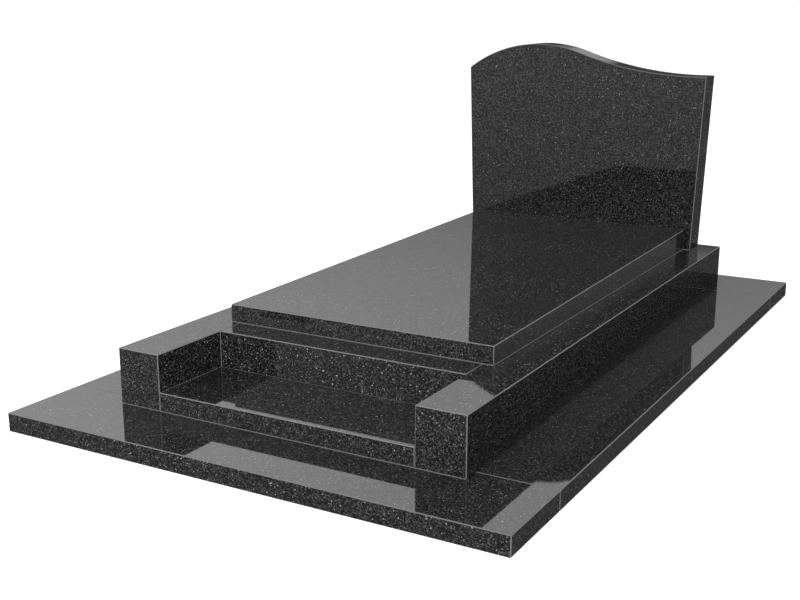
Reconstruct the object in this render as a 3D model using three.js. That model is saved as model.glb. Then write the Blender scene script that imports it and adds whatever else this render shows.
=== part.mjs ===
// A grave monument of polished black granite: a flat base of four strips, two long kerbs with a
// step slab, a front panel and a rear kerb between them, a sloping ledger and a headstone.
// Millimetres, +Z up. The origin is under the middle of the base, and the headstone is towards +Y.

import * as THREE from 'three';

// The kerbs: the grave's length and width are measured over their outer faces.
const graveLength = 2000;
const graveWidth = 1000;
const kerbWidth = 130;
const kerbHeight = 150;

// The base: flat strips that show all round the kerbs and reach a little way under what they carry.
const baseMargin = 200;
const baseThickness = 50;
const baseBearing = 50;

// The flower bay at the foot end, between the kerbs.
const stepDepth = 250;
const stepThickness = 50;

// The ledger: it laps onto both kerbs, leaves the front of the panel bare and rises to the head.
const ledgerLap = 30;
const ledgerSetback = 90;
const ledgerFootThickness = 50;
const ledgerHeadThickness = 70;

// The headstone: its sides flare upwards, and its top is a crest left of the middle that falls
// in a wave to a short level shoulder on the right.
const headstoneThickness = 100;
const headstoneSetback = 20;
const headstoneFootWidth = 850;
const headstoneTopWidth = 890;
const shoulderHeight = 600;
const shoulderLevel = 45;
const crestRise = 97;
const crestDrop = 90;
const crestOffset = 170;

// Workmanship: every edge is dressed with a narrow arris, and the stones are laid with thin joints.
const arris = 2;
const joint = 0.3;

const arcDivisions = 32;

// Levels and lines that several stones share.
const footEnd = -graveLength / 2;
const headEnd = graveLength / 2;
const kerbInnerFace = graveWidth / 2 - kerbWidth;
const baseEdge = graveWidth / 2 + baseMargin;
const kerbFoot = baseThickness + joint;
const kerbTop = kerbFoot + kerbHeight;
const panelFront = footEnd + stepDepth + joint;
const headstoneBack = headEnd - headstoneSetback;
const headstoneFront = headstoneBack - headstoneThickness;

function granite(color) {
  return new THREE.MeshStandardMaterial({ color, roughness: 0.08, metalness: 0 });
}

// Cuts each corner of a closed outline by the arris, measured along both of its edges.
function dressCorners(corners) {
  return corners.flatMap((corner, i) => {
    const before = corners[(i + corners.length - 1) % corners.length];
    const after = corners[(i + 1) % corners.length];
    return [before, after].map((neighbour) => {
      const edge = neighbour.clone().sub(corner);
      return corner.clone().add(edge.setLength(arris));
    });
  });
}

// Extrudes an outline to a stone of the given thickness, with an arris round both of its faces.
function cutStone(outline, thickness) {
  return new THREE.ExtrudeGeometry(outline, {
    depth: thickness - 2 * arris,
    bevelThickness: arris,
    bevelSize: arris,
    bevelOffset: -arris,
    bevelSegments: 1,
    curveSegments: arcDivisions,
  }).translate(0, 0, arris);
}

function stone(name, geometry) {
  const mesh = new THREE.Mesh(geometry, granite(0x1b1c1e));
  mesh.name = name;
  return mesh;
}

// A squared block between two corners of its box.
function block(name, low, high) {
  const corners = [
    new THREE.Vector2(low.x, low.y),
    new THREE.Vector2(high.x, low.y),
    new THREE.Vector2(high.x, high.y),
    new THREE.Vector2(low.x, high.y),
  ];
  const outline = new THREE.Shape(dressCorners(corners));
  const mesh = stone(name, cutStone(outline, high.z - low.z));
  mesh.position.z = low.z;
  return mesh;
}

function point(x, y, z) {
  return new THREE.Vector3(x, y, z);
}

// The base: the end strips run the full width, and the side strips fit between them.
function makeBase() {
  const base = new THREE.Group();
  const endReach = headEnd - baseBearing;
  const sideReach = kerbInnerFace - baseBearing;
  const endEdge = headEnd + baseMargin;
  base.add(
    block('base_front', point(-baseEdge, -endEdge, 0), point(baseEdge, -endReach, baseThickness)),
    block('base_back', point(-baseEdge, endReach, 0), point(baseEdge, endEdge, baseThickness)),
  );
  const sideEnd = endReach - joint;
  base.add(
    block('base_left', point(-baseEdge, -sideEnd, 0), point(-sideReach, sideEnd, baseThickness)),
    block('base_right', point(sideReach, -sideEnd, 0), point(baseEdge, sideEnd, baseThickness)),
  );
  return base;
}

// The kerbs: the long ones carry the ledger's sides, and the rear one closes them at the head.
function makeKerbs() {
  const kerbs = new THREE.Group();
  const outer = graveWidth / 2;
  const crossEnd = kerbInnerFace - joint;
  kerbs.add(
    block('kerb_left', point(-outer, footEnd, kerbFoot), point(-kerbInnerFace, headEnd, kerbTop)),
    block('kerb_right', point(kerbInnerFace, footEnd, kerbFoot), point(outer, headEnd, kerbTop)),
    block('kerb_back', point(-crossEnd, headEnd - kerbWidth, kerbFoot), point(crossEnd, headEnd, kerbTop)),
  );
  return kerbs;
}

// The flower bay: a step slab flush with the kerbs' front ends, and the panel behind it.
function makeBay() {
  const bay = new THREE.Group();
  const crossEnd = kerbInnerFace - joint;
  const stepBack = footEnd + stepDepth;
  const panelBack = panelFront + kerbWidth;
  bay.add(
    block('step_slab', point(-crossEnd, footEnd, kerbFoot), point(crossEnd, stepBack, kerbFoot + stepThickness)),
    block('front_panel', point(-crossEnd, panelFront, kerbFoot), point(crossEnd, panelBack, kerbTop)),
  );
  return bay;
}

// The ledger's outline is its side profile, foot to head and bottom to top, laid across the grave.
function makeLedger() {
  const width = 2 * (kerbInnerFace + ledgerLap);
  const foot = panelFront + ledgerSetback;
  const head = headstoneFront - joint;
  const corners = [
    new THREE.Vector2(foot, 0),
    new THREE.Vector2(head, 0),
    new THREE.Vector2(head, ledgerHeadThickness),
    new THREE.Vector2(foot, ledgerFootThickness),
  ];
  const ledger = stone('ledger', cutStone(new THREE.Shape(dressCorners(corners)), width));
  ledger.rotation.set(Math.PI / 2, Math.PI / 2, 0);
  ledger.position.set(-width / 2, 0, kerbTop + joint);
  return ledger;
}

// The headstone's front outline. The crest arc starts at the left shoulder, passes the crest and
// turns without a corner into the hollow arc, which ends level at the right shoulder.
function headstoneOutline() {
  const footHalf = headstoneFootWidth / 2;
  const topHalf = headstoneTopWidth / 2;
  const crestHeight = shoulderHeight + crestRise;
  const levelStart = topHalf - shoulderLevel;
  const leftRun = topHalf - crestOffset;
  const rightRun = levelStart + crestOffset;
  const crestRadius = (leftRun ** 2 + crestDrop ** 2) / (2 * crestDrop);
  const turn = 2 * Math.atan(crestRise / rightRun);
  const hollowRadius = rightRun / Math.sin(turn) - crestRadius;
  const leftTurn = Math.asin(leftRun / crestRadius);
  const outline = new THREE.Shape();
  outline.moveTo(-footHalf, 0);
  outline.lineTo(footHalf, 0);
  outline.lineTo(topHalf, shoulderHeight);
  outline.lineTo(levelStart, shoulderHeight);
  outline.absarc(
    levelStart, shoulderHeight + hollowRadius, hollowRadius,
    -Math.PI / 2, -Math.PI / 2 - turn, true,
  );
  outline.absarc(
    -crestOffset, crestHeight - crestRadius, crestRadius,
    Math.PI / 2 - turn, Math.PI / 2 + leftTurn, false,
  );
  outline.closePath();
  return outline;
}

function makeHeadstone() {
  const headstone = stone('headstone', cutStone(headstoneOutline(), headstoneThickness));
  headstone.rotation.x = Math.PI / 2;
  headstone.position.set(0, headstoneBack, kerbTop + joint);
  return headstone;
}

const monument = new THREE.Group();
monument.add(makeBase(), makeKerbs(), makeBay(), makeLedger(), makeHeadstone());

export default monument;
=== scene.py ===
import math

import bmesh
import bpy
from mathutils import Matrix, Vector


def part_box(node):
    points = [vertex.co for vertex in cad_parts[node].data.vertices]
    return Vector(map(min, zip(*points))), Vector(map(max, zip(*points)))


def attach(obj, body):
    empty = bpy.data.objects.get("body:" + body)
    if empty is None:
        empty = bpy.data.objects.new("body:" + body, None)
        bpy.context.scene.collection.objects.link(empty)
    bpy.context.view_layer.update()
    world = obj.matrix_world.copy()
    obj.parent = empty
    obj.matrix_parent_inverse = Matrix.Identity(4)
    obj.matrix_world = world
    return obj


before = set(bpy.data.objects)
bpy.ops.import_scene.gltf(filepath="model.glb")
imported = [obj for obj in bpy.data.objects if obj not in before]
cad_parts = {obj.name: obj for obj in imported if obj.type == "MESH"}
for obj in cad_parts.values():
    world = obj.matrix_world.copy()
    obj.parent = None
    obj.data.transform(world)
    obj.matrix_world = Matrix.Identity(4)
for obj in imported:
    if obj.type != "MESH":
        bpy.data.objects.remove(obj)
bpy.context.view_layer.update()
scene = bpy.context.scene
mm = 0.001
white = (1, 1, 1, 1)
print("frame loaded:", len(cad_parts), "stones")


def hexColour(text):
    # sRGB hex to the linear colour that the shader takes
    channels = [int(text[i:i + 2], 16) / 255 for i in (1, 3, 5)]
    linear = [c / 12.92 if c <= 0.04045 else ((c + 0.055) / 1.055) ** 2.4 for c in channels]
    return (*linear, 1.0)


def addNode(tree, kind, settings=None, inputs=None):
    # one node, its settings, and its inputs: a value, an output, or a node for its first output
    node = tree.nodes.new(kind)
    for name, value in (settings or {}).items():
        setattr(node, name, value)
    for name, value in (inputs or {}).items():
        if isinstance(value, bpy.types.Node):
            value = value.outputs[0]
        if isinstance(value, bpy.types.NodeSocket):
            tree.links.new(value, node.inputs[name])
        else:
            node.inputs[name].default_value = value
    return node


def newTree(owner):
    owner.use_nodes = True
    owner.node_tree.nodes.clear()
    return owner.node_tree


# settings that many nodes share; a Mix node's sockets 2 and 3 are its numbers, 6 and 7 its colours
softRamp = {"interpolation_type": "SMOOTHSTEP"}
mixedNumber = {"data_type": "FLOAT"}
mixedColour = {"data_type": "RGBA"}
add = {"operation": "ADD"}
subtract = {"operation": "SUBTRACT"}
multiply = {"operation": "MULTIPLY"}


# Camera: where the photograph was taken from, in the row frame.
cameraView = {
    "place": (1.575, -3.159, 1.088),
    "turnedLeft": 29.92,        # degrees from +Y
    "lookingDown": 14.69,       # degrees
    "focalLength": 53.33,       # mm
    "sensorWidth": 36,          # mm
    "farthest": 500,            # well past the backdrop
}


def makeCamera(view):
    data = bpy.data.cameras.new("camera")
    data.lens = view["focalLength"]
    data.sensor_width = view["sensorWidth"]
    data.clip_end = view["farthest"]
    camera = bpy.data.objects.new("camera", data)
    camera.location = view["place"]
    tilt, turn = math.radians(90 - view["lookingDown"]), math.radians(view["turnedLeft"])
    camera.rotation_euler = (tilt, 0, turn)
    scene.collection.objects.link(camera)
    scene.camera = camera


makeCamera(cameraView)
scene.view_settings.view_transform = "Standard"
print("camera placed")


# Polished black granite, a gabbro: gang-sawn, ground and polished to a mirror, so the dark body
# reflects its surroundings sharply and the pale feldspar grains show through. The arrises are
# only honed, so they scatter light and look paler.
granite = {
    "crystalDark": "#030303",
    "crystalPale": "#434343",
    "lathDim": "#4b4b4b",
    "lathPale": "#a6a6a6",
    "honed": "#636363",
    "polishedRoughness": 0.03,
    "honedRoughness": 0.42,
    "honedGrain": 0.15,         # how much of the grain still shows on an arris
    "ior": 1.5,
    "crystalPitch": 2.7 * mm,   # crystals of the body, side by side
    "crystalSpread": 60,        # the higher, the rarer the pale ones
    "lathPitch": 5.9 * mm,      # from one feldspar lath to the next
    "lathFewest": 0.25,         # share of the cells that hold a lath, where the stone is darkest
    "lathMost": 0.55,           # and where it is palest
    "clumpPitch": 38 * mm,      # from one paler patch to the next
    "clumpStart": 0.3,          # level of the patches' noise that gives the fewest laths
    "clumpFull": 0.7,           # and the most
    "lathThinnest": 0.6 * mm,   # half of its thickness
    "lathThickest": 1.45 * mm,
    "lathLength": 2.6,          # times its thickness
    "lathSpread": 2.0,          # the higher, the rarer the pale ones
    "bendRate": 0.6,            # bends in the grains' outlines, for each lath
    "bendReach": 0.6,           # how far they go, in lath pitches
    # an arris's normal along each axis: the middle of its range, and half of its width
    "arrisTurn": {"Y": (0.6, 0.3), "X": (0.76, 0.14)},
}

noiseMiddle = (0.5, 0.5, 0.5)   # the mean of a noise colour


def bendCoordinates(tree, g, place):
    # moves the coordinates a little to and fro, so that the grains have uneven outlines
    noise = addNode(tree, "ShaderNodeTexNoise", {"noise_dimensions": "3D"},
                    {"Vector": place, "Scale": g["bendRate"] / g["lathPitch"], "Detail": 2.0})
    centred = addNode(tree, "ShaderNodeVectorMath", subtract,
                      {0: noise.outputs["Color"], 1: noiseMiddle})
    reach = (g["lathPitch"] * g["bendReach"],) * 3
    return addNode(tree, "ShaderNodeVectorMath", {"operation": "MULTIPLY_ADD"},
                   {0: centred, 1: reach, 2: place})


def growCrystals(tree, g, bent):
    # the body: crystals side by side, each with its own grey, the dark ones in the majority
    cells = addNode(tree, "ShaderNodeTexVoronoi", {"feature": "F1"},
                    {"Vector": bent, "Scale": 1 / g["crystalPitch"]})
    lot = addNode(tree, "ShaderNodeSeparateColor", {}, {0: cells.outputs["Color"]})
    power = addNode(tree, "ShaderNodeMath", {"operation": "POWER"},
                    {0: g["crystalSpread"], 1: lot.outputs["Red"]})
    shade = addNode(tree, "ShaderNodeMapRange", {},
                    {"Value": power, "From Min": 1.0, "From Max": g["crystalSpread"]})
    return addNode(tree, "ShaderNodeMix", mixedColour,
                   {0: shade, 6: hexColour(g["crystalDark"]), 7: hexColour(g["crystalPale"])})


def growLaths(tree, g, bent, body):
    # feldspar: some cells hold a lath, more of them in the paler patches
    cells = addNode(tree, "ShaderNodeTexVoronoi", {"feature": "F1"},
                    {"Vector": bent, "Scale": 1 / g["lathPitch"]})
    centre = cells.outputs["Position"]
    lot = addNode(tree, "ShaderNodeSeparateColor", {}, {0: cells.outputs["Color"]})
    clumps = addNode(tree, "ShaderNodeTexNoise", {"noise_dimensions": "3D"},
                     {"Vector": centre, "Scale": 1 / g["clumpPitch"], "Detail": 1.0})
    share = addNode(tree, "ShaderNodeMapRange", {},
                    {"Value": clumps.outputs["Fac"],
                     "From Min": g["clumpStart"], "From Max": g["clumpFull"],
                     "To Min": g["lathFewest"], "To Max": g["lathMost"]})
    chosen = addNode(tree, "ShaderNodeMath", {"operation": "LESS_THAN"},
                     {0: lot.outputs["Red"], 1: share})

    # each lies in a direction of its own, and distance along it counts less
    turn = addNode(tree, "ShaderNodeTexWhiteNoise", {"noise_dimensions": "3D"}, {"Vector": centre})
    lean = addNode(tree, "ShaderNodeVectorMath", subtract,
                   {0: turn.outputs["Color"], 1: noiseMiddle})
    axis = addNode(tree, "ShaderNodeVectorMath", {"operation": "NORMALIZE"}, {0: lean})
    offset = addNode(tree, "ShaderNodeVectorMath", subtract, {0: bent, 1: centre})
    run = addNode(tree, "ShaderNodeVectorMath", {"operation": "DOT_PRODUCT"}, {0: offset, 1: axis})
    excess = addNode(tree, "ShaderNodeMath", multiply,
                     {0: run.outputs["Value"], 1: 1 / g["lathLength"] - 1})
    squeezed = addNode(tree, "ShaderNodeVectorMath", {"operation": "MULTIPLY_ADD"},
                       {0: axis, 1: excess, 2: offset})
    distance = addNode(tree, "ShaderNodeVectorMath", {"operation": "LENGTH"}, {0: squeezed})

    # its thickness, with a soft outline
    radius = addNode(tree, "ShaderNodeMapRange", {},
                     {"Value": lot.outputs["Blue"],
                      "To Min": g["lathThinnest"], "To Max": g["lathThickest"]})
    depth = addNode(tree, "ShaderNodeMath", subtract, {0: radius, 1: distance.outputs["Value"]})
    inside = addNode(tree, "ShaderNodeMapRange", softRamp,
                     {"Value": depth, "From Max": g["lathThinnest"] / 2})
    lath = addNode(tree, "ShaderNodeMath", multiply, {0: chosen, 1: inside})

    # its grey, most of them dim
    shade = addNode(tree, "ShaderNodeMath", {"operation": "POWER"},
                    {0: lot.outputs["Green"], 1: g["lathSpread"]})
    colour = addNode(tree, "ShaderNodeMix", mixedColour,
                     {0: shade, 6: hexColour(g["lathDim"]), 7: hexColour(g["lathPale"])})
    return addNode(tree, "ShaderNodeMix", mixedColour,
                   {0: lath, 6: body.outputs[2], 7: colour.outputs[2]})


def markArrises(tree, g, normal):
    # 1 on the faces that are turned about 45 degrees between two of the stone's sides
    size = addNode(tree, "ShaderNodeVectorMath", {"operation": "ABSOLUTE"}, {0: normal})
    turned = addNode(tree, "ShaderNodeSeparateXYZ", {}, {0: size})
    marks = [addNode(tree, "ShaderNodeMath", {"operation": "COMPARE"},
                     {0: turned.outputs[axis], 1: middle, 2: reach})
             for axis, (middle, reach) in g["arrisTurn"].items()]
    return addNode(tree, "ShaderNodeMath", {"operation": "MAXIMUM"}, {0: marks[0], 1: marks[1]})


def makeGranite(g):
    material = bpy.data.materials.new("polishedBlackGranite")
    tree = newTree(material)
    coords = addNode(tree, "ShaderNodeTexCoord")
    bent = bendCoordinates(tree, g, coords.outputs["Object"])
    body = growCrystals(tree, g, bent)
    polished = growLaths(tree, g, bent, body)
    arris = markArrises(tree, g, coords.outputs["Normal"])
    honed = addNode(tree, "ShaderNodeMix", mixedColour,
                    {0: g["honedGrain"], 6: hexColour(g["honed"]), 7: polished.outputs[2]})
    colour = addNode(tree, "ShaderNodeMix", mixedColour,
                     {0: arris, 6: polished.outputs[2], 7: honed.outputs[2]})
    roughness = addNode(tree, "ShaderNodeMapRange", {},
                        {"Value": arris,
                         "To Min": g["polishedRoughness"], "To Max": g["honedRoughness"]})
    surface = addNode(tree, "ShaderNodeBsdfPrincipled", {},
                      {"Base Color": colour.outputs[2], "Roughness": roughness, "IOR": g["ior"]})
    addNode(tree, "ShaderNodeOutputMaterial", {}, {"Surface": surface})
    return material


stoneMaterial = makeGranite(granite)
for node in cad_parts.values():
    node.data.materials.clear()
    node.data.materials.append(stoneMaterial)
print("stones finished")


# Jointing: the pale mineral compound that the stones are bedded in. It fills the groove between
# an arris and the stone it meets, and is wiped off a little behind the face, matt and sandy.
jointing = {
    "dark": "#656565",
    "pale": "#828282",
    "roughness": 0.85,
    "grit": 0.8 * mm,
    "gritDepth": 0.1 * mm,
    "gritStrength": 0.5,
    "arris": 2.0 * mm,          # as on the stones
    "joint": 0.3 * mm,
    "recess": 0.3 * mm,         # behind the face
    "clearance": 0.05 * mm,     # to the stones
    "headstoneFoot": 850 * mm,  # its width at the bottom
}


def makeCompound(j):
    material = bpy.data.materials.new("paleJointingCompound")
    tree = newTree(material)
    coords = addNode(tree, "ShaderNodeTexCoord")
    grit = addNode(tree, "ShaderNodeTexNoise", {"noise_dimensions": "3D"},
                   {"Vector": coords.outputs["Object"], "Scale": 1 / j["grit"], "Detail": 2.0})
    level = grit.outputs["Fac"]
    colour = addNode(tree, "ShaderNodeMix", mixedColour,
                     {0: level, 6: hexColour(j["dark"]), 7: hexColour(j["pale"])})
    relief = addNode(tree, "ShaderNodeBump", {},
                     {"Height": level, "Distance": j["gritDepth"], "Strength": j["gritStrength"]})
    surface = addNode(tree, "ShaderNodeBsdfPrincipled", {},
                      {"Base Color": colour.outputs[2], "Roughness": j["roughness"],
                       "Normal": relief})
    addNode(tree, "ShaderNodeOutputMaterial", {}, {"Surface": surface})
    return material


def addBead(bm, j, start, end, outward, toward):
    # start and end lie where the stone's face meets its arris; toward points to the other stone
    start, end = Vector(start), Vector(end)
    gap = j["clearance"]
    depth = j["arris"] - gap
    reach = j["arris"] + j["joint"] - gap
    recess = j["recess"]
    section = [(recess, recess + gap), (recess, reach), (depth, reach), (depth, depth + gap)]
    corners = [bm.verts.new(start - outward * inward + toward * across)
               for inward, across in section]
    face = bm.faces.new(corners)
    grown = bmesh.ops.extrude_face_region(bm, geom=[face])
    far = [v for v in grown["geom"] if isinstance(v, bmesh.types.BMVert)]
    bmesh.ops.translate(bm, verts=far, vec=end - start)


def makeJointing(j):
    arris = j["arris"]
    edge = arris + j["joint"]
    left, right = Vector((-1, 0, 0)), Vector((1, 0, 0))
    front, back = Vector((0, -1, 0)), Vector((0, 1, 0))
    up, down = Vector((0, 0, 1)), Vector((0, 0, -1))
    kerb, step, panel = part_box("kerb_right"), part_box("step_slab"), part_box("front_panel")
    ledger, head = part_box("ledger"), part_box("headstone")
    bm = bmesh.new()

    # under the ends of the kerbs and the step slab
    end, low, reach = kerb[1].y, kerb[0].z + arris, kerb[1].x - arris
    for face, y in ((front, -end), (back, end)):
        addBead(bm, j, (-reach, y, low), (reach, y, low), face, down)

    # the flower bay: the step slab against the kerbs and the panel, the panel against the kerbs
    top, stepBack, reach = step[1].z, step[1].y, kerb[0].x - edge
    panelTop = panel[1].z - arris
    for face, x in ((left, -reach), (right, reach)):
        addBead(bm, j, (x, -end + arris, top), (x, stepBack, top), up, face)
        addBead(bm, j, (x, panel[0].y, top), (x, panel[0].y, panelTop), front, face)
    line = stepBack - arris
    addBead(bm, j, (-reach, line, top), (reach, line, top), up, back)

    # under the ledger, and between its head end and the headstone
    low, side, foot = ledger[0].z + arris, ledger[1].x, ledger[0].y
    reach = side - arris
    line = ledger[1].y - arris
    addBead(bm, j, (-reach, foot, low), (reach, foot, low), front, down)
    for face, x in ((left, -side), (right, side)):
        addBead(bm, j, (x, foot + arris, low), (x, line, low), face, down)
    top = ledger[1].z
    addBead(bm, j, (-reach, line, top), (reach, line, top), up, back)

    # under the headstone, where the ledger leaves its foot open
    low, corner, ledgerEnd = head[0].z + arris, j["headstoneFoot"] / 2, side + j["joint"]
    headFront, headBack = head[0].y, head[1].y
    reach = corner - arris
    addBead(bm, j, (-reach, headBack, low), (reach, headBack, low), back, down)
    for face, sign in ((left, -1), (right, 1)):
        inner, outer, x = sign * ledgerEnd, sign * reach, sign * corner
        addBead(bm, j, (inner, headFront, low), (outer, headFront, low), front, down)
        addBead(bm, j, (x, headFront + arris, low), (x, headBack - arris, low), face, down)

    bmesh.ops.recalc_face_normals(bm, faces=bm.faces)
    data = bpy.data.meshes.new("jointing")
    bm.to_mesh(data)
    bm.free()
    data.materials.append(makeCompound(j))
    beads = bpy.data.objects.new("jointing", data)
    scene.collection.objects.link(beads)
    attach(beads, "root")


makeJointing(jointing)
print("joints filled")


# Studio: a pale matt floor inside a white backdrop. The camera sees both, but the polished faces
# mirror the sky alone.
studio = {
    "floor": "#f8f8f8",
    "floorGlow": 0.35,
    "floorRoughness": 0.9,
    "floorSheen": 0.1,
    "floorSides": 96,
    "backdropRadius": 160.0,
    "backdropSegments": 96,     # round it
    "backdropRings": 48,        # from pole to pole
}


def addStagePiece(name, bm, material):
    data = bpy.data.meshes.new(name)
    bm.to_mesh(data)
    bm.free()
    data.materials.append(material)
    piece = bpy.data.objects.new(name, data)
    scene.collection.objects.link(piece)
    piece.visible_glossy = False
    return piece


def makeFloor(s):
    material = bpy.data.materials.new("mattPaleFloor")
    tree = newTree(material)
    surface = addNode(tree, "ShaderNodeBsdfPrincipled", {},
                      {"Base Color": hexColour(s["floor"]), "Roughness": s["floorRoughness"],
                       "Specular IOR Level": s["floorSheen"],
                       "Emission Color": white, "Emission Strength": s["floorGlow"]})
    addNode(tree, "ShaderNodeOutputMaterial", {}, {"Surface": surface})
    bm = bmesh.new()
    bmesh.ops.create_circle(bm, cap_ends=True, segments=s["floorSides"],
                            radius=s["backdropRadius"])
    addStagePiece("floor", bm, material)


def makeBackdrop(s):
    # for the camera only: it gives no light
    material = bpy.data.materials.new("whiteBackdrop")
    tree = newTree(material)
    glow = addNode(tree, "ShaderNodeEmission", {}, {"Color": white, "Strength": 1.0})
    addNode(tree, "ShaderNodeOutputMaterial", {}, {"Surface": glow})
    bm = bmesh.new()
    bmesh.ops.create_uvsphere(bm, u_segments=s["backdropSegments"], v_segments=s["backdropRings"],
                              radius=s["backdropRadius"])
    backdrop = addStagePiece("backdrop", bm, material)
    backdrop.visible_diffuse = False
    backdrop.visible_transmission = False
    backdrop.visible_shadow = False


makeFloor(studio)
makeBackdrop(studio)
print("floor and backdrop placed")


# Sky: a plain brightness for each direction, which the polish mirrors and which fills the shade.
# A direction is one unit long: x to the right, y to the head end, z up. Each ramp goes from its
# first brightness or share to its second one while x, y or z goes from its first value to its
# second one; where no brightness is given, it goes from 0 to 1.
sky = {
    # over the monument it brightens upwards and dims again at the top, over z
    "rise": {"From Min": 0.123, "From Max": 0.461, "To Min": 0.03, "To Max": 1.55},
    "top": {"From Min": 0.5, "From Max": 0.8, "To Min": 1.0, "To Max": 0.4},
    # brighter on the far left and darker from the middle to the right, over x
    "farLeft": {"From Min": -0.75, "From Max": -0.45, "To Min": 1.4, "To Max": 1.0},
    "right": {"From Min": -0.2, "From Max": 0.2, "To Min": 1.0},
    # the share left on the right: more above a slope of z to x, and most high up, over z
    "steepSlope": 0.966,
    "steep": {"From Min": -0.003, "From Max": 0.003, "To Min": 0.045, "To Max": 0.4},
    "rightHigh": {"From Min": 0.45, "From Max": 0.75},
    "rightHighShare": 0.8,
    # a dark wall low at the back: below its top, over z, and to the right of its end, over x
    "wallGlow": 0.07,
    "wallTop": {"From Min": 0.196, "From Max": 0.22, "To Min": 1.0, "To Max": 0.0},
    "wallEnd": {"From Min": -0.36, "From Max": -0.28},
    # a pale screen low on the right: its brightness, its end and the slope of its top, over x
    "screenGlow": {"From Min": 0.27, "From Max": 0.41, "To Min": 0.33, "To Max": 0.68},
    "screenEnd": {"From Min": 0.1, "From Max": 0.2},
    "screenSlope": {"From Min": 0.25, "From Max": 0.3, "To Min": 0.84, "To Max": 0.79},
    "screenTop": {"From Min": -0.012, "From Max": 0.012, "To Min": 1.0, "To Max": 0.0},
    # the front, towards the camera: its brightness over z, up to one that changes over x
    "front": {"From Min": 0.1, "From Max": 0.24, "To Min": 0.03},
    "frontLeft": {"From Min": -0.36, "From Max": -0.5, "To Min": 0.8, "To Max": 1.6},
    "frontShare": {"From Min": 0.1, "From Max": -0.5},
    # below the horizon, as if off the floor: in front over z, at the back over x
    "groundFront": {"From Min": -0.06, "From Max": -0.3, "To Min": 0.66, "To Max": 0.3},
    "groundBack": {"From Min": 0.2, "From Max": 0.4, "To Min": 0.08, "To Max": 0.12},
    "groundShare": {"From Min": -0.4, "From Max": 0.6},
}


def paintDome(tree, s, x, z):
    rise = addNode(tree, "ShaderNodeMapRange", {}, {"Value": z, **s["rise"]})
    farLeft = addNode(tree, "ShaderNodeMapRange", {}, {"Value": x, **s["farLeft"]})
    slope = addNode(tree, "ShaderNodeMath", multiply, {0: x, 1: s["steepSlope"]})
    aboveSlope = addNode(tree, "ShaderNodeMath", subtract, {0: z, 1: slope})
    steep = addNode(tree, "ShaderNodeMapRange", softRamp, {"Value": aboveSlope, **s["steep"]})
    high = addNode(tree, "ShaderNodeMapRange", softRamp, {"Value": z, **s["rightHigh"]})
    share = addNode(tree, "ShaderNodeMix", mixedNumber,
                    {0: high, 2: steep, 3: s["rightHighShare"]})
    right = addNode(tree, "ShaderNodeMapRange", softRamp,
                    {"Value": x, **s["right"], "To Max": share})
    gained = addNode(tree, "ShaderNodeMath", multiply, {0: rise, 1: farLeft})
    return addNode(tree, "ShaderNodeMath", multiply, {0: gained, 1: right})


def paintWall(tree, s, x, z, dome):
    belowTop = addNode(tree, "ShaderNodeMapRange", softRamp, {"Value": z, **s["wallTop"]})
    pastEnd = addNode(tree, "ShaderNodeMapRange", softRamp, {"Value": x, **s["wallEnd"]})
    wall = addNode(tree, "ShaderNodeMath", multiply, {0: belowTop, 1: pastEnd})
    return addNode(tree, "ShaderNodeMix", mixedNumber, {0: wall, 2: dome, 3: s["wallGlow"]})


def paintScreen(tree, s, x, z, dome):
    slope = addNode(tree, "ShaderNodeMapRange", softRamp, {"Value": x, **s["screenSlope"]})
    top = addNode(tree, "ShaderNodeMath", multiply, {0: x, 1: slope})
    aboveTop = addNode(tree, "ShaderNodeMath", subtract, {0: z, 1: top})
    belowTop = addNode(tree, "ShaderNodeMapRange", softRamp,
                       {"Value": aboveTop, **s["screenTop"]})
    pastEnd = addNode(tree, "ShaderNodeMapRange", softRamp, {"Value": x, **s["screenEnd"]})
    screen = addNode(tree, "ShaderNodeMath", multiply, {0: belowTop, 1: pastEnd})
    glow = addNode(tree, "ShaderNodeMapRange", {}, {"Value": x, **s["screenGlow"]})
    light = addNode(tree, "ShaderNodeMath", multiply, {0: screen, 1: glow})
    return addNode(tree, "ShaderNodeMath", add, {0: dome, 1: light})


def paintFront(tree, s, parts, dome):
    x, y, z = parts
    highest = addNode(tree, "ShaderNodeMapRange", softRamp, {"Value": x, **s["frontLeft"]})
    front = addNode(tree, "ShaderNodeMapRange", softRamp,
                    {"Value": z, **s["front"], "To Max": highest})
    share = addNode(tree, "ShaderNodeMapRange", softRamp, {"Value": y, **s["frontShare"]})
    return addNode(tree, "ShaderNodeMix", mixedNumber, {0: share, 2: dome, 3: front})


def paintGround(tree, s, parts):
    x, y, z = parts
    front = addNode(tree, "ShaderNodeMapRange", {}, {"Value": z, **s["groundFront"]})
    back = addNode(tree, "ShaderNodeMapRange", {}, {"Value": x, **s["groundBack"]})
    share = addNode(tree, "ShaderNodeMapRange", softRamp, {"Value": y, **s["groundShare"]})
    return addNode(tree, "ShaderNodeMix", mixedNumber, {0: share, 2: front, 3: back})


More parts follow.
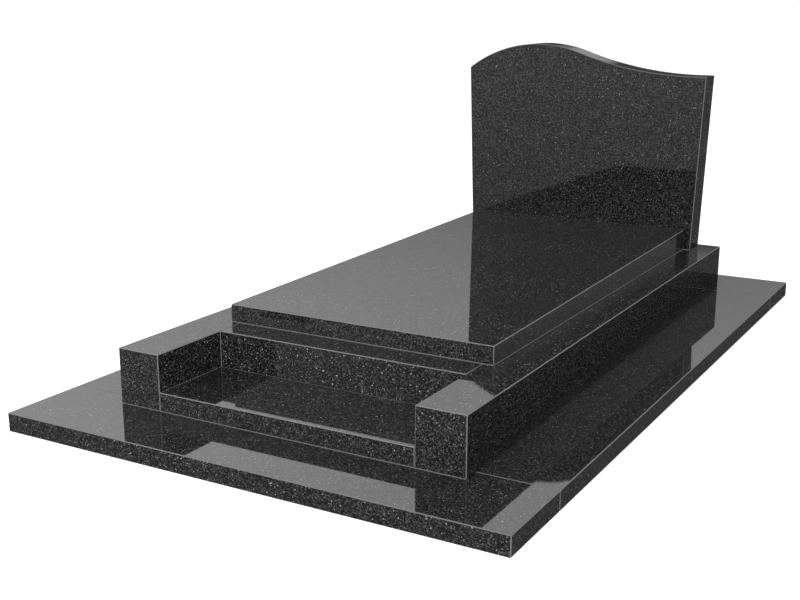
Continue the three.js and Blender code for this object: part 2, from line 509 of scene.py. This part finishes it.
def makeSky(s):
    world = bpy.data.worlds.new("studioSky")
    scene.world = world
    tree = newTree(world)
    direction = addNode(tree, "ShaderNodeTexCoord")
    parts = addNode(tree, "ShaderNodeSeparateXYZ", {},
                    {0: direction.outputs["Generated"]}).outputs
    x, y, z = parts
    dome = paintDome(tree, s, x, z)
    dome = paintWall(tree, s, x, z, dome)
    dome = paintScreen(tree, s, x, z, dome)
    whole = paintFront(tree, s, parts, dome)
    top = addNode(tree, "ShaderNodeMapRange", softRamp, {"Value": z, **s["top"]})
    above = addNode(tree, "ShaderNodeMath", multiply, {0: whole, 1: top})
    under = paintGround(tree, s, parts)
    isUnder = addNode(tree, "ShaderNodeMath", {"operation": "LESS_THAN"}, {0: z, 1: 0.0})
    brightness = addNode(tree, "ShaderNodeMix", mixedNumber, {0: isUnder, 2: above, 3: under})
    glow = addNode(tree, "ShaderNodeBackground", {}, {"Color": white, "Strength": brightness})
    addNode(tree, "ShaderNodeOutputWorld", {}, {"Surface": glow})


makeSky(sky)
print("sky painted")


# Lamps: a large soft one behind the camera, a weak one overhead, one low on the right, and a
# small one near the ground at the foot end that is shaded off the stones it doesn't name.
lamps = [
    {"name": "softbox", "place": (2.2, -6.4, 4.4), "aim": (0, -0.3, 0.3),
     "size": 4.5, "watts": 560},
    {"name": "overhead", "place": (0.5, -0.5, 5.0), "aim": (0.2, -0.2, 0),
     "size": 4.0, "watts": 15},
    {"name": "side", "place": (6.0, 0, 1.0), "aim": (0.5, 0, 0.2),
     "size": 2.5, "watts": 75},
    {"name": "fill", "place": (-0.1, -2.8, 0.4), "aim": (-0.05, -0.8, 0.15),
     "size": 0.6, "watts": 19,
     "only": ("kerb_left", "kerb_right", "step_slab", "front_panel", "ledger")},
]


def makeLamp(lamp):
    data = bpy.data.lights.new(lamp["name"], "AREA")
    data.size = lamp["size"]
    data.energy = lamp["watts"]
    light = bpy.data.objects.new(lamp["name"], data)
    light.location = lamp["place"]
    aim = Vector(lamp["aim"]) - Vector(lamp["place"])
    light.rotation_euler = aim.to_track_quat("-Z", "Y").to_euler()
    light.visible_glossy = False
    light.visible_camera = False
    if "only" in lamp:
        lit = bpy.data.collections.new(lamp["name"] + "Lit")
        for name in lamp["only"]:
            lit.objects.link(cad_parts[name])
        light.light_linking.receiver_collection = lit
    scene.collection.objects.link(light)


for lamp in lamps:
    makeLamp(lamp)
print("lamps placed")
